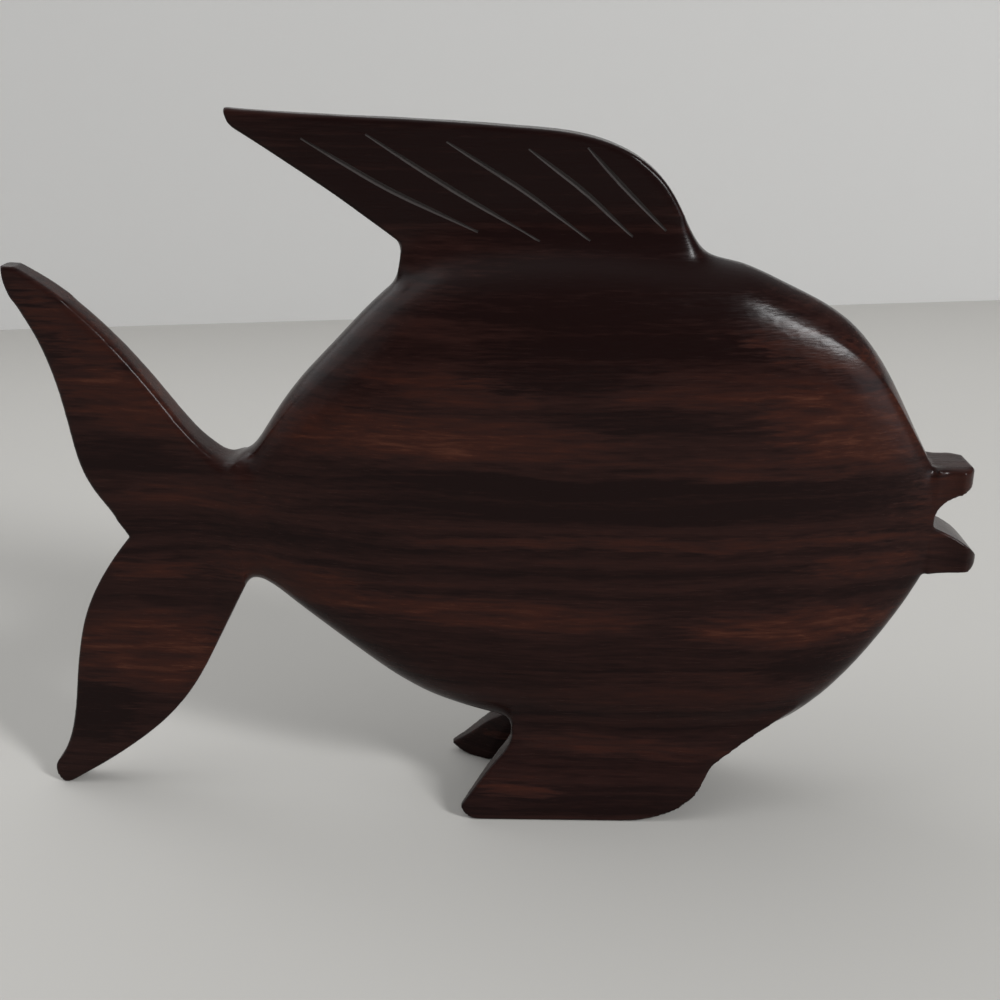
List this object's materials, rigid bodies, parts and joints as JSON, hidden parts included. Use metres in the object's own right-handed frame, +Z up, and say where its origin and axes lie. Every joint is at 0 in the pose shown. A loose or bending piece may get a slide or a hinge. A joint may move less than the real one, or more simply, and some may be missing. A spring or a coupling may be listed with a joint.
{
  "type": "fish figurine",
  "caption": "Carved hardwood fish figurine with a forked tail, a grooved dorsal fin and parted lips, standing on splayed pelvic fins and the tip of its tail.",
  "frame": {"origin": "on the table under the middle of the fish: the centre of the bottom of its bounding box", "axes": "+X towards the lips, +Y towards the fish's left side, +Z up from the table"},
  "size_m": [0.1254, 0.02, 0.0925],
  "materials": {
    "polished_hardwood": "hand carved, sanded and polished to a semi-gloss; very dark brown heartwood with reddish streaks along the length"
  },
  "bodies": {
    "root": {"body": "polished_hardwood", "dorsal_fin": "polished_hardwood", "upper_tail_lobe": "polished_hardwood", "lower_tail_lobe": "polished_hardwood", "upper_lip": "polished_hardwood", "lower_lip": "polished_hardwood", "right_pelvic_fin": "polished_hardwood", "left_pelvic_fin": "polished_hardwood"}
  },
  "joints": []
}
